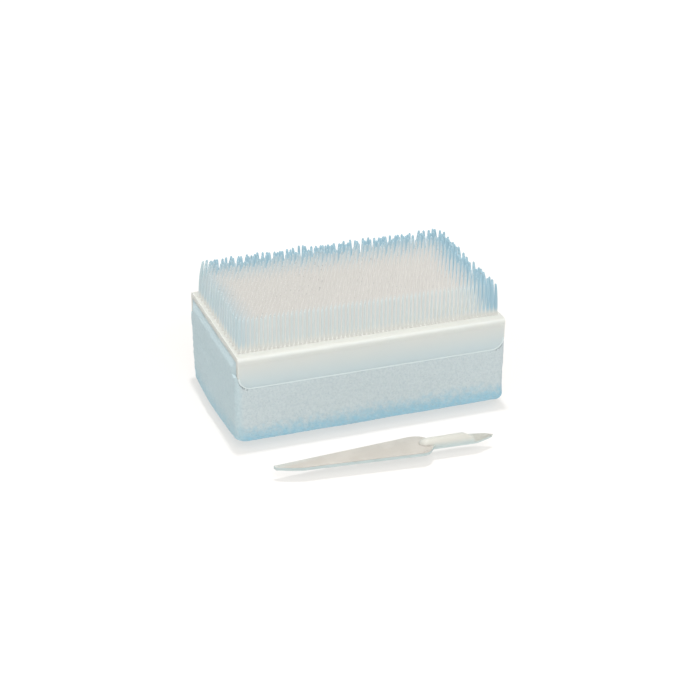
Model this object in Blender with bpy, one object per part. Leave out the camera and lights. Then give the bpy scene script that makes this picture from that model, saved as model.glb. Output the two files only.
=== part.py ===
"""Surgical scrub brush on a foam sponge, with the nail pick that belongs to it.

Frame: metres, +X along the brush, +Y towards its back, +Z up. The origin is the centre of
the sponge's flat underside, which the brush stands on. The sponge stays put, the moulded
brush head sinks into it when it is pressed, each row of bristles leans about a line along
its root, and the pick lifts off the surface that it lies on.
"""

import math

import bmesh
import bpy
from mathutils import Vector
from mathutils.geometry import interpolate_bezier

MM = 0.001
GAP = 0.3 * MM                       # kept between pieces that touch or are bonded

# Brush head: a saddle-shaped moulding with a skirt down each long side
BRUSH_LENGTH = 83.0 * MM
BRUSH_WIDTH = 49.0 * MM
PLATE_TOP = 26.6 * MM                # height of the bristles' roots above the table
PLATE_THICKNESS = 2.0 * MM
SKIRT_DEPTH = 10.2 * MM
SKIRT_THICKNESS = 1.8 * MM
SHOULDER_RADIUS = 1.3 * MM           # from the flat top down into the skirt
CEILING_RADIUS = 0.6 * MM            # the same corner on the inside
SKIRT_CORNER_RADIUS = 4.0 * MM       # lower corners of the skirt, seen from the side
CUT_MARGIN = 1.0 * MM                # how far a cutting block runs past what it cuts

# Foam sponge and the film that bonds it to the plate
SPONGE_END_INSET = 0.2 * MM          # each end, back from the plate's end
SPONGE_EDGE_RADIUS = 2.4 * MM
SPONGE_EDGE_STEPS = 4
SPONGE_FACE_INSET = 0.3 * MM         # each long face, back from the skirt's outer face
SPONGE_SKIRT_GAP = 0.6 * MM          # between the skirt's inner face and the foam
FILM_THICKNESS = 0.4 * MM
FILM_END_INSET = 0.6 * MM            # each end, back from the sponge's end
FILM_SKIRT_GAP = 1.2 * MM            # each side, back from the skirt's inner face

# Bristle field: rows along X, each one a comb with a tooth for every bristle. Every other
# row has one bristle fewer, and stands in the gaps of its neighbours.
BRISTLE_HEIGHT = 10.0 * MM           # tips above the plate
BRISTLE_ROWS = 32
BRISTLES_PER_ROW = 62
FIELD_LENGTH = 80.6 * MM
FIELD_WIDTH = 41.2 * MM              # between the outer rows' centres
ROW_THICKNESS = 0.5 * MM
ROOT_HEIGHT = 0.6 * MM
VALLEY_HEIGHT = 1.2 * MM             # between two bristles, above the underside of the root

# Nail pick, measured along its own length from the blade's blunt tip
PICK_CENTRE = Vector((-3.7 * MM, -43.7 * MM, 0.0))
PICK_TURN = math.radians(-2.6)       # its length is nearly parallel to the brush
PICK_LENGTH = 66.0 * MM
BLADE_THICKNESS = 1.2 * MM
BLADE_TIP = ((0.0, 0.65), (0.6, -0.65))      # corners of the blunt tip, in mm
# Curved edges of the blade: start, two handles and end, in mm
BLADE_FRONT = ((0.6, -0.65), (8.0, -3.6), (22.0, -3.2), (42.4, -4.95))
BLADE_FRONT_SHOULDER = ((42.4, -4.95), (45.0, -4.95), (46.0, -3.5), (47.6, -1.9))
BLADE_BACK_SHOULDER = ((47.6, 1.9), (46.0, 2.7), (45.4, 4.95), (41.8, 4.95))
STEM_START = 43.0 * MM
STEM_NOSE = 3.0 * MM                 # length of the round nose that lies on the blade
STEM_NOSE_STEPS = 4
STEM_WIDTH = 4.4 * MM
STEM_HEIGHT = 2.7 * MM
STEM_END = 57.0 * MM                 # the scoop runs on from here to a point
STEM_FLARE = 0.2 * MM                # each side, widening from the nose to the scoop
STEM_FLOOR = 0.1 * MM                # underside of the stem, above the underside of the blade
STEM_ARC_STEPS = 8
SCOOP_STEPS = 6
SCOOP_FLATTENING = 0.55              # share of the stem's height lost at the point
SCOOP_FULLNESS = 1.7                 # how long the scoop keeps its width before the point
SCOOP_RADII = (6.5 * MM, 2.2 * MM, 1.6 * MM)
SCOOP_PLACE = 61.5 * MM              # middle of the hollow, along the pick
SCOOP_LIFT = 2.9 * MM                # middle of the hollow, above the table
SCOOP_TILT = math.radians(12.0)      # its far end dips towards the point

ARC_STEPS = 6                        # straight pieces in a quarter turn
HOLLOW_SEGMENTS = 16                 # round the ball that hollows the scoop
HOLLOW_RINGS = 10


def clear_scene():
    for old in list(bpy.data.objects):
        bpy.data.objects.remove(old, do_unlink=True)


def new_collection(name):
    collection = bpy.data.collections.new(name)
    bpy.context.scene.collection.children.link(collection)
    return collection


def material(name, colour, roughness, transmission=0.0):
    """A Principled material; the colour is linear RGB."""
    made = bpy.data.materials.new(name)
    made.use_nodes = True
    shader = made.node_tree.nodes["Principled BSDF"]
    shader.inputs["Base Color"].default_value = (*colour, 1.0)
    shader.inputs["Roughness"].default_value = roughness
    shader.inputs["Metallic"].default_value = 0.0
    shader.inputs["Transmission Weight"].default_value = transmission
    made.diffuse_color = (*colour, 1.0)
    return made


def arc(centre, radius, start, end):
    """Points on an arc from start to end, in degrees, both ends included."""
    points = []
    for step in range(ARC_STEPS + 1):
        angle = math.radians(start + (end - start) * step / ARC_STEPS)
        points.append((centre[0] + radius * math.cos(angle), centre[1] + radius * math.sin(angle)))
    return points


def prism_mesh(name, outline, depth, place):
    """A flat outline made into a solid: place(u, v, w) turns outline point (u, v) at
    depth w into a vertex, and w runs from minus to plus half of depth."""
    mesh = bpy.data.meshes.new(name)
    bm = bmesh.new()
    near = [bm.verts.new(place(u, v, -depth / 2)) for u, v in outline]
    cap = bm.faces.new(near)
    grown = bmesh.ops.extrude_face_region(bm, geom=[cap], use_keep_orig=True)
    far = [item for item in grown["geom"] if isinstance(item, bmesh.types.BMVert)]
    travel = Vector(place(0.0, 0.0, depth / 2)) - Vector(place(0.0, 0.0, -depth / 2))
    bmesh.ops.translate(bm, verts=far, vec=travel)
    bmesh.ops.recalc_face_normals(bm, faces=bm.faces)
    bm.to_mesh(mesh)
    bm.free()
    return mesh


def along_x(u, v, w):
    return (w, u, v)


def along_y(u, v, w):
    return (u, w, v)


def along_z(u, v, w):
    return (u, v, w)


def add_object(name, mesh, collection, parent=None, finish=None, location=(0.0, 0.0, 0.0)):
    made = bpy.data.objects.new(name, mesh)
    collection.objects.link(made)
    made.parent = parent
    made.location = location
    if finish:
        mesh.materials.append(finish)
    return made


def add_empty(name, collection, location, parent=None):
    made = bpy.data.objects.new(name, None)
    collection.objects.link(made)
    made.parent = parent
    made.location = location
    made.empty_display_size = 5 * MM
    return made


def add_cutter(mesh, cutters):
    cutter = add_object(mesh.name, mesh, cutters)
    cutter.hide_render = True
    cutter.display_type = "WIRE"
    return cutter


def boolean(target, cutter, operation):
    cut = target.modifiers.new(cutter.name, "BOOLEAN")
    cut.operation = operation
    cut.solver = "EXACT"
    cut.object = cutter


def side_outline(length, low, high, radius):
    """The plate seen from the front: square at the top, round at both lower corners."""
    half = length / 2
    outline = arc((-half + radius, low + radius), radius, 180, 270)
    outline += arc((half - radius, low + radius), radius, 270, 360)
    return outline + [(half, high), (-half, high)]


def saddle_outline():
    """The plate's section across its width: a top, two shoulders and two skirts."""
    half = BRUSH_WIDTH / 2
    low = PLATE_TOP - SKIRT_DEPTH
    inner_half = half - SKIRT_THICKNESS
    ceiling = PLATE_TOP - PLATE_THICKNESS
    shoulder = half - SHOULDER_RADIUS
    corner = inner_half - CEILING_RADIUS
    outline = [(half, low)]
    outline += arc((shoulder, PLATE_TOP - SHOULDER_RADIUS), SHOULDER_RADIUS, 0, 90)
    outline += arc((-shoulder, PLATE_TOP - SHOULDER_RADIUS), SHOULDER_RADIUS, 90, 180)
    outline += [(-half, low), (-inner_half, low)]
    outline += arc((-corner, ceiling - CEILING_RADIUS), CEILING_RADIUS, 180, 90)
    outline += arc((corner, ceiling - CEILING_RADIUS), CEILING_RADIUS, 90, 0)
    return outline + [(inner_half, low)]


def make_brush_plate(collection, cutters, parent, finish):
    mesh = prism_mesh("brush_plate", saddle_outline(), BRUSH_LENGTH + 2 * CUT_MARGIN, along_x)
    plate = add_object("brush_plate", mesh, collection, parent, finish)
    low = PLATE_TOP - SKIRT_DEPTH
    side = side_outline(BRUSH_LENGTH, low, PLATE_TOP + CUT_MARGIN, SKIRT_CORNER_RADIUS)
    block = prism_mesh("plate_side_block", side, BRUSH_WIDTH + 2 * CUT_MARGIN, along_y)
    boolean(plate, add_cutter(block, cutters), "INTERSECT")
    return plate


def make_sponge(collection, cutters, finish):
    """A block with rounded sides and foot, stepped along its top for the skirts."""
    top = PLATE_TOP - PLATE_THICKNESS - FILM_THICKNESS - 2 * GAP
    length = BRUSH_LENGTH - 2 * SPONGE_END_INSET
    width = BRUSH_WIDTH - 2 * SPONGE_FACE_INSET
    mesh = bpy.data.meshes.new("sponge")
    bm = bmesh.new()
    bmesh.ops.create_cube(bm, size=1.0)
    bmesh.ops.scale(bm, vec=(length, width, top), verts=bm.verts)
    bmesh.ops.translate(bm, vec=(0.0, 0.0, top / 2), verts=bm.verts)
    rounded = [edge for edge in bm.edges if min(end.co.z for end in edge.verts) < top / 2]
    bmesh.ops.bevel(
        bm, geom=rounded, offset=SPONGE_EDGE_RADIUS, offset_type="OFFSET",
        segments=SPONGE_EDGE_STEPS, profile=0.5, affect="EDGES")
    bm.to_mesh(mesh)
    bm.free()
    sponge = add_object("sponge", mesh, collection, None, finish)
    low = PLATE_TOP - SKIRT_DEPTH - GAP
    inner_half = BRUSH_WIDTH / 2 - SKIRT_THICKNESS - SPONGE_SKIRT_GAP
    side = side_outline(BRUSH_LENGTH + 2 * GAP, low, PLATE_TOP, SKIRT_CORNER_RADIUS + GAP)
    for name, sign in (("front_skirt_room", -1), ("back_skirt_room", 1)):
        room = prism_mesh(name, side, SKIRT_THICKNESS * 2, along_y)
        cutter = add_cutter(room, cutters)
        cutter.location = (0.0, sign * (inner_half + SKIRT_THICKNESS), 0.0)
        boolean(sponge, cutter, "DIFFERENCE")
    return sponge


def make_film(collection, parent, finish):
    length = BRUSH_LENGTH - 2 * (SPONGE_END_INSET + FILM_END_INSET)
    width = BRUSH_WIDTH - 2 * (SKIRT_THICKNESS + FILM_SKIRT_GAP)
    mesh = bpy.data.meshes.new("adhesive_film")
    bm = bmesh.new()
    bmesh.ops.create_cube(bm, size=1.0)
    bmesh.ops.scale(bm, vec=(length, width, FILM_THICKNESS), verts=bm.verts)
    bm.to_mesh(mesh)
    bm.free()
    film = add_object("adhesive_film", mesh, collection, parent, finish)
    film.location.z = -PLATE_THICKNESS - GAP - FILM_THICKNESS / 2
    return film


def comb_outline(bristles):
    """One row seen from the front, about the hinge line along the middle of its root."""
    pitch = FIELD_LENGTH / BRISTLES_PER_ROW
    half = pitch * bristles / 2
    floor = -ROOT_HEIGHT / 2
    valley = floor + VALLEY_HEIGHT
    tip = BRISTLE_HEIGHT - GAP + floor
    outline = [(-half, floor), (half, floor)]
    for bristle in range(bristles):
        right = half - bristle * pitch
        outline += [(right, valley), (right - pitch / 2, tip)]
    return outline + [(-half, valley)]


def make_bristle_rows(collection, parent, finish):
    spacing = FIELD_WIDTH / (BRISTLE_ROWS - 1)
    hinge_height = GAP + ROOT_HEIGHT / 2
    combs = []
    for name, bristles in (("full_row", BRISTLES_PER_ROW), ("row_between", BRISTLES_PER_ROW - 1)):
        comb = prism_mesh(name, comb_outline(bristles), ROW_THICKNESS, along_y)
        comb.materials.append(finish)
        combs.append(comb)
    for row in range(BRISTLE_ROWS):
        place = (0.0, -FIELD_WIDTH / 2 + row * spacing, hinge_height)
        add_object(f"bristle_row_{row + 1:02d}", combs[row % 2], collection, parent, None, place)


def curve_points(start, start_handle, end_handle, end):
    """A smooth edge between two points of an outline given in mm, both ends included."""
    knots = [Vector((*point, 0.0)) * MM for point in (start, start_handle, end_handle, end)]
    return [(point.x, point.y) for point in interpolate_bezier(*knots, ARC_STEPS + 1)]


def blade_outline():
    """The blade from above: blunt tip at the left, belly towards the front, round
    shoulders where the stem takes over at the right."""
    back_of_tip = (BLADE_TIP[0][0] * MM, BLADE_TIP[0][1] * MM)
    front = curve_points(*BLADE_FRONT)
    shoulder = curve_points(*BLADE_FRONT_SHOULDER)
    return [back_of_tip] + front + shoulder[1:] + curve_points(*BLADE_BACK_SHOULDER)


def stem_sections():
    """Stations along the half-round stem and the pointed scoop that it runs out into:
    place along the pick, half width, and height."""
    stations = []
    for step in range(1, STEM_NOSE_STEPS + 1):
        turn = math.radians(90 * step / STEM_NOSE_STEPS)
        along = STEM_START + STEM_NOSE * (1 - math.cos(turn))
        stations.append((along, STEM_WIDTH / 2 * math.sin(turn), STEM_HEIGHT * math.sin(turn)))
    widest = STEM_WIDTH / 2 + STEM_FLARE
    stations.append((STEM_END, widest, STEM_HEIGHT))
    for step in range(1, SCOOP_STEPS):
        share = step / SCOOP_STEPS
        along = STEM_END + (PICK_LENGTH - STEM_END) * share
        half_width = widest * math.sqrt(1 - share ** SCOOP_FULLNESS)
        stations.append((along, half_width, STEM_HEIGHT * (1 - SCOOP_FLATTENING * share)))
    return stations


def half_round(half_width, height):
    """Points over a half-ellipse from front to back, standing on its flat underside."""
    points = []
    for step in range(STEM_ARC_STEPS + 1):
        angle = math.pi * step / STEM_ARC_STEPS
        rise = (height - STEM_FLOOR) * math.sin(angle)
        points.append((-half_width * math.cos(angle), STEM_FLOOR + rise))
    return points


def make_stem_mesh():
    """A loft through the stem's unlike half-round sections, closed to a point at each end."""
    mesh = bpy.data.meshes.new("pick_stem")
    bm = bmesh.new()
    rings = []
    for along, half_width, height in stem_sections():
        rings.append([bm.verts.new((along, y, z)) for y, z in half_round(half_width, height)])
    start = bm.verts.new((STEM_START, 0.0, 2 * STEM_FLOOR))
    point = bm.verts.new((PICK_LENGTH, 0.0, STEM_HEIGHT * (1 - SCOOP_FLATTENING)))
    for ring, following in zip(rings, rings[1:]):
        for this in range(len(ring)):
            after = (this + 1) % len(ring)
            bm.faces.new((ring[this], ring[after], following[after], following[this]))
    for this in range(len(rings[0])):
        after = (this + 1) % len(rings[0])
        bm.faces.new((start, rings[0][after], rings[0][this]))
        bm.faces.new((point, rings[-1][this], rings[-1][after]))
    bmesh.ops.recalc_face_normals(bm, faces=bm.faces)
    bm.to_mesh(mesh)
    bm.free()
    return mesh


def make_nail_pick(collection, cutters, finish):
    stand = add_empty("nail_pick_lift", collection, PICK_CENTRE)
    stand.rotation_euler.z = PICK_TURN
    blade = prism_mesh("nail_pick", blade_outline(), BLADE_THICKNESS, along_z)
    pick = add_object("nail_pick", blade, collection, stand, finish)
    pick.location = (-PICK_LENGTH / 2, 0.0, BLADE_THICKNESS / 2)
    stem = add_cutter(make_stem_mesh(), cutters)
    stem.parent = stand
    stem.location = (-PICK_LENGTH / 2, 0.0, 0.0)
    boolean(pick, stem, "UNION")
    scoop = bpy.data.meshes.new("scoop_hollow")
    bm = bmesh.new()
    bmesh.ops.create_uvsphere(
        bm, u_segments=HOLLOW_SEGMENTS, v_segments=HOLLOW_RINGS, radius=1.0)
    bmesh.ops.scale(bm, vec=SCOOP_RADII, verts=bm.verts)
    bm.to_mesh(scoop)
    bm.free()
    hollow = add_cutter(scoop, cutters)
    hollow.parent = stand
    hollow.location = (SCOOP_PLACE - PICK_LENGTH / 2, 0.0, SCOOP_LIFT)
    hollow.rotation_euler.y = SCOOP_TILT
    boolean(pick, hollow, "DIFFERENCE")
    return pick


def main():
    clear_scene()
    brush = new_collection("scrub_brush")
    cutters = new_collection("cutters")
    foam = material("foam", (0.50, 0.66, 0.72), 0.95)
    moulding = material("plate_plastic", (0.72, 0.76, 0.74), 0.35, 0.1)
    bristle = material("bristle_plastic", (0.66, 0.78, 0.82), 0.30, 0.1)
    adhesive = material("adhesive", (0.80, 0.78, 0.68), 0.25, 0.3)
    ivory = material("pick_plastic", (0.70, 0.68, 0.60), 0.35)
    make_sponge(brush, cutters, foam)
    head = add_empty("brush_head", brush, (0.0, 0.0, PLATE_TOP))
    plate = make_brush_plate(brush, cutters, head, moulding)
    plate.location.z = -PLATE_TOP
    make_film(brush, head, adhesive)
    make_bristle_rows(brush, head, bristle)
    make_nail_pick(brush, cutters, ivory)


main()
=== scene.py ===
"""Looks for the surgical scrub brush: fine bristles, foam, moulded plate and nail pick.

Everything is in metres, in the part's own frame: +X along the brush, +Y to its back, +Z up,
with the origin under the middle of the sponge.
"""

import math

import bmesh
import bpy
import numpy as np
from mathutils import Matrix, Vector, noise
from mathutils.geometry import interpolate_bezier


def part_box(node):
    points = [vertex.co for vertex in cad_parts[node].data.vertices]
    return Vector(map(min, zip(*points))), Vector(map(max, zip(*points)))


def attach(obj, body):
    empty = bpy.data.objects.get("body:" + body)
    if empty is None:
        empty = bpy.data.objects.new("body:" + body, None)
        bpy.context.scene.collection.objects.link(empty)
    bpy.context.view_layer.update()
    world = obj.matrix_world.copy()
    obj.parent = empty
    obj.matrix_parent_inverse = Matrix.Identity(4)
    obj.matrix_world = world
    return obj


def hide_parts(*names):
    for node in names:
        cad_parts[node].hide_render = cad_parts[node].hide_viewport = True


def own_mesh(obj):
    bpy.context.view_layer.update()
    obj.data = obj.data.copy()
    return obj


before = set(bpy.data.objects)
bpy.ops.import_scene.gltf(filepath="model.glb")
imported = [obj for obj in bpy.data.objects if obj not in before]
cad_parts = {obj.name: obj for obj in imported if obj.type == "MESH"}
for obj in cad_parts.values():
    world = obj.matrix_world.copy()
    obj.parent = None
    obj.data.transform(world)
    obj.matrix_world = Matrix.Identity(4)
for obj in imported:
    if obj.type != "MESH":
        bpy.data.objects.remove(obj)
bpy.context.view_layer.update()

MM = 0.001
ROWS = sorted(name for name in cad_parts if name.startswith("bristle_row_"))
PLATE_LOW, PLATE_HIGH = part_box("brush_plate")
SPONGE_LOW, SPONGE_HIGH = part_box("sponge")
PICK_LOW, PICK_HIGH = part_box("nail_pick")
FIELD_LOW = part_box(ROWS[0])[0]
FIELD_HIGH = Vector((-FIELD_LOW.x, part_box(ROWS[-1])[1].y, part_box(ROWS[-1])[1].z))


# ---------------------------------------------------------------- camera, light and floor

CAMERA_AZIMUTH = math.radians(-20.8)
CAMERA_ELEVATION = math.radians(26.7)
CAMERA_ROLL = math.radians(0.84)
CAMERA_DISTANCE = 0.5058
CAMERA_TARGET = Vector((1.5 * MM, 0.0, 11.0 * MM))
CAMERA_LENS = 85.06                  # mm, on a sensor SENSOR_WIDTH mm wide
SENSOR_WIDTH = 36.0
CLIP_START = 0.01
CLIP_END = 20.0

SKY_HORIZON = (0.80, 0.92, 1.0)
SKY_OVERHEAD = (1.0, 0.97, 0.90)
SKY_OVERHEAD_FROM = 0.75             # share of the way up from which the sky is all cream
SKY_STRENGTH = 0.61

GLASS_THICKNESS = 3.3 * MM
FLOOR_SIZE = 8.0
FLOOR_COLOUR = (0.34, 0.332, 0.328)
FLOOR_GLOW_COLOUR = (1.0, 0.975, 0.945)
FLOOR_GLOW_RUN = (0.07, 0.16)        # metres from the middle between which the glow grows
FLOOR_GLOW = (0.57, 0.74)            # round the brush, and beyond its shadow

# Name, place, width, watts and colour of each area light
LIGHTS = (
    ("key", (-0.12, -0.60, 0.70), 0.5, 3.3, (1.0, 0.98, 0.95)),
    ("top", (0.0, 0.03, 0.90), 0.05, 4.5, (0.98, 0.98, 1.0)),
)


def add_camera():
    cos_e = math.cos(CAMERA_ELEVATION)
    back = Vector((
        math.sin(CAMERA_AZIMUTH) * cos_e,
        -math.cos(CAMERA_AZIMUTH) * cos_e,
        math.sin(CAMERA_ELEVATION)))
    data = bpy.data.cameras.new("camera")
    data.lens = CAMERA_LENS
    data.sensor_width = SENSOR_WIDTH
    data.clip_start = CLIP_START
    data.clip_end = CLIP_END
    camera = bpy.data.objects.new("camera", data)
    bpy.context.scene.collection.objects.link(camera)
    turn = (-back).to_track_quat("-Z", "Y").to_matrix() @ Matrix.Rotation(CAMERA_ROLL, 3, "Z")
    place = Matrix.Translation(CAMERA_TARGET + back * CAMERA_DISTANCE)
    camera.matrix_world = place @ turn.to_4x4()
    bpy.context.scene.camera = camera


def add_area_light(name, place, size, power, colour):
    data = bpy.data.lights.new(name, "AREA")
    data.shape = "SQUARE"
    data.size = size
    data.energy = power
    data.color = colour
    light = bpy.data.objects.new(name, data)
    bpy.context.scene.collection.objects.link(light)
    light.location = place
    light.rotation_mode = "QUATERNION"
    light.rotation_quaternion = (-Vector(place)).to_track_quat("-Z", "Y")


def add_world():
    """Soft light from all round: cream overhead, pale blue towards the horizon."""
    world = bpy.data.worlds.new("studio")
    bpy.context.scene.world = world
    world.use_nodes = True
    tree = world.node_tree
    background = tree.nodes["Background"]
    coords = tree.nodes.new("ShaderNodeTexCoord")
    split = tree.nodes.new("ShaderNodeSeparateXYZ")
    ramp = tree.nodes.new("ShaderNodeValToRGB")
    for element, position, colour in zip(
            ramp.color_ramp.elements, (0.0, SKY_OVERHEAD_FROM), (SKY_HORIZON, SKY_OVERHEAD)):
        element.position = position
        element.color = (*colour, 1.0)
    tree.links.new(coords.outputs["Generated"], split.inputs[0])
    tree.links.new(split.outputs["Z"], ramp.inputs[0])
    tree.links.new(ramp.outputs["Color"], background.inputs["Color"])
    background.inputs["Strength"].default_value = SKY_STRENGTH


def add_floor():
    """White paper under a sheet of clear glass: shadows fall a little below the things."""
    bpy.ops.mesh.primitive_plane_add(size=FLOOR_SIZE, location=(0.0, 0.0, -GLASS_THICKNESS))
    floor = bpy.context.object
    floor.name = "floor"
    made = bpy.data.materials.new("floor_white")
    made.use_nodes = True
    tree = made.node_tree
    shader = tree.nodes["Principled BSDF"]
    shader.inputs["Base Color"].default_value = (*FLOOR_COLOUR, 1.0)
    shader.inputs["Roughness"].default_value = 0.9
    shader.inputs["Emission Color"].default_value = (*FLOOR_GLOW_COLOUR, 1.0)
    away = tree.nodes.new("ShaderNodeVectorMath")
    away.operation = "LENGTH"
    glow = tree.nodes.new("ShaderNodeMapRange")
    for name, number in zip(
            ("From Min", "From Max", "To Min", "To Max"), FLOOR_GLOW_RUN + FLOOR_GLOW):
        glow.inputs[name].default_value = number
    coords = tree.nodes.new("ShaderNodeTexCoord")
    tree.links.new(coords.outputs["Object"], away.inputs[0])
    tree.links.new(away.outputs["Value"], glow.inputs["Value"])
    tree.links.new(glow.outputs[0], shader.inputs["Emission Strength"])
    floor.data.materials.append(made)


def set_colour_management():
    scene = bpy.context.scene
    scene.view_settings.view_transform = "Standard"
    scene.view_settings.look = "None"
    scene.view_settings.exposure = 0.0
    scene.view_settings.gamma = 1.0


# ---------------------------------------------------------------- materials

BLACK = (0.0, 0.0, 0.0)

# Painted shade: the bluer colour towards the foam's foot
FOAM_FOOT_SHADE_BLUE = (0.30, 0.53, 0.65)
FOAM_PALE = (0.57, 0.64, 0.66)
FOAM_MOTTLE = (0.38, 0.47, 0.52)
# Painted shade: the dark inside the foam's open cells
FOAM_PORE_SHADE = (0.24, 0.36, 0.44)
# Painted shade: the bluer colour at the foam's left end
FOAM_END_SHADE_BLUE = (0.50, 0.66, 0.71)
FOAM_SHEEN_TINT = (0.75, 0.90, 1.0)
FOOT_SHADE_FADE = 6.5 * MM                 # height at which the painted shade at the foot, a bluer colour, is gone

# Painted shade: greyer and bluer down the skirts than at the cream shoulders
SKIRT_SHADE_GREY = (0.54, 0.64, 0.67)
SHOULDER_CREAM = (0.655, 0.67, 0.645)
FLOW_MARK = (0.60, 0.66, 0.66)
# Painted shade: the flat top darker, where the overhead light falls
TOP_SHADE_CREAM = (0.57, 0.575, 0.54)
# Painted shade: the plate's end faces darker than the shoulders
END_SHADE_CREAM = (0.63, 0.64, 0.605)
# Painted glow on the plate's top under the bristles
UNDER_FIELD_PAINTED_GLOW = (0.06, 0.06, 0.055)

LIP_COLOURS = ((0.38, 0.43, 0.44), (0.42, 0.46, 0.47))
# Painted glow on the bead: a painted highlight along the skirts' lower edge
LIP_PAINTED_GLOW_COLOUR = (0.62, 0.70, 0.70)
LIP_PAINTED_GLOW = 0.42

# Painted shade: the front rows, seen from the side, greyer and bluer
BRISTLE_FRONT_SHADE = (0.595, 0.65, 0.64)
BRISTLE_CREAM = (0.67, 0.65, 0.61)   # of the field's inside
# Painted shade: pale blue at the bristle field's outside, muted at the left end
BRISTLE_NEAR_EDGE_SHADE = (0.53, 0.61, 0.63)
BRISTLE_LEFT_EDGE_SHADE = (0.49, 0.60, 0.62)
BRISTLE_EDGE_SHADE = (0.36, 0.53, 0.61)
# Painted light: a pale cream at the roots
BRISTLE_ROOT_PAINTED_LIGHT = (0.68, 0.68, 0.63)
# Painted shade: dark specks at some tips
BRISTLE_SPECK_SHADE = (0.33, 0.34, 0.32)
# How much of a bristle's colour is painted glow, for light passed on from its neighbours, and
# how much is lit directly: each at the field's outside, and deep in it
BRISTLE_PAINTED_GLOW = (0.66, 0.93)
BRISTLE_SURFACE = (0.34, 0.06)
FADE_SHIFT = 2.0 * MM                # the painted blue shade runs in further from the right, by twice this

PICK_FACE = ((0.475, 0.45, 0.41), (0.515, 0.49, 0.45))
# Painted shade: the pick's sides, greyer and bluer than its top
PICK_SIDE_SHADE = ((0.49, 0.57, 0.57), (0.52, 0.60, 0.60))
PICK_CREAM = (0.56, 0.555, 0.51)
# Painted shade: grey in the pick's scoop
PICK_SCOOP_SHADE = (0.45, 0.45, 0.41)

BOND_COLOURS = ((0.72, 0.72, 0.64), (0.80, 0.79, 0.72))


class Shade:
    """A Principled material and short ways to wire procedural nodes into it."""

    def __init__(self, name, roughness):
        self.material = bpy.data.materials.new(name)
        self.material.use_nodes = True
        self.tree = self.material.node_tree
        self.shader = self.tree.nodes["Principled BSDF"]
        self.shader.inputs["Roughness"].default_value = roughness
        self.coords = self.tree.nodes.new("ShaderNodeTexCoord").outputs["Object"]

    def node(self, kind, **inputs):
        made = self.tree.nodes.new("ShaderNode" + kind)
        for name, value in inputs.items():
            self.wire(value, made.inputs[name.replace("_", " ")])
        return made

    def wire(self, value, socket):
        if isinstance(value, bpy.types.NodeSocket):
            self.tree.links.new(value, socket)
        elif isinstance(value, tuple) and len(value) == 3 and socket.type == "RGBA":
            socket.default_value = (*value, 1.0)
        else:
            socket.default_value = value

    def axis(self, name):
        return self.node("SeparateXYZ", Vector=self.coords).outputs[name]

    def noise(self, size, detail=2.0, roughness=0.5):
        """Noise whose blobs are about size across, in metres; 0 to 1."""
        made = self.node(
            "TexNoise", Vector=self.coords, Scale=1.0 / size, Detail=detail, Roughness=roughness)
        return made.outputs["Fac"]

    def cells(self, size):
        """Distance to the nearest cell centre; cells are about size across."""
        made = self.node("TexVoronoi", Vector=self.coords, Scale=1.0 / size)
        return made.outputs["Distance"]

    def math(self, operation, first, second=0.0):
        made = self.tree.nodes.new("ShaderNodeMath")
        made.operation = operation
        self.wire(first, made.inputs[0])
        self.wire(second, made.inputs[1])
        return made.outputs[0]

    def ranged(self, value, low, high, to_low=0.0, to_high=1.0):
        """value mapped from low..high to to_low..to_high, held at both ends."""
        made = self.tree.nodes.new("ShaderNodeMapRange")
        made.interpolation_type = "SMOOTHSTEP"
        self.wire(value, made.inputs["Value"])
        for name, number in (
                ("From Min", low), ("From Max", high), ("To Min", to_low), ("To Max", to_high)):
            made.inputs[name].default_value = number
        return made.outputs[0]

    def mix(self, share, first, second):
        made = self.tree.nodes.new("ShaderNodeMix")
        made.data_type = "RGBA"
        self.wire(share, made.inputs["Factor"])
        self.wire(first, made.inputs[6])
        self.wire(second, made.inputs[7])
        return made.outputs[2]

    def colour(self, value):
        self.wire(value, self.shader.inputs["Base Color"])

    def glow(self, value, strength=1.0):
        self.wire(value, self.shader.inputs["Emission Color"])
        self.shader.inputs["Emission Strength"].default_value = strength

    def bump(self, height, strength, distance):
        made = self.node("Bump", Height=height, Strength=strength, Distance=distance)
        self.tree.links.new(made.outputs["Normal"], self.shader.inputs["Normal"])

    def soft(self, weight, scale, radius=(1.0, 1.0, 1.0)):
        """Light that goes in and comes out nearby, as in milky plastic."""
        self.shader.inputs["Subsurface Weight"].default_value = weight
        self.shader.inputs["Subsurface Scale"].default_value = scale
        self.shader.inputs["Subsurface Radius"].default_value = radius


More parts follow.
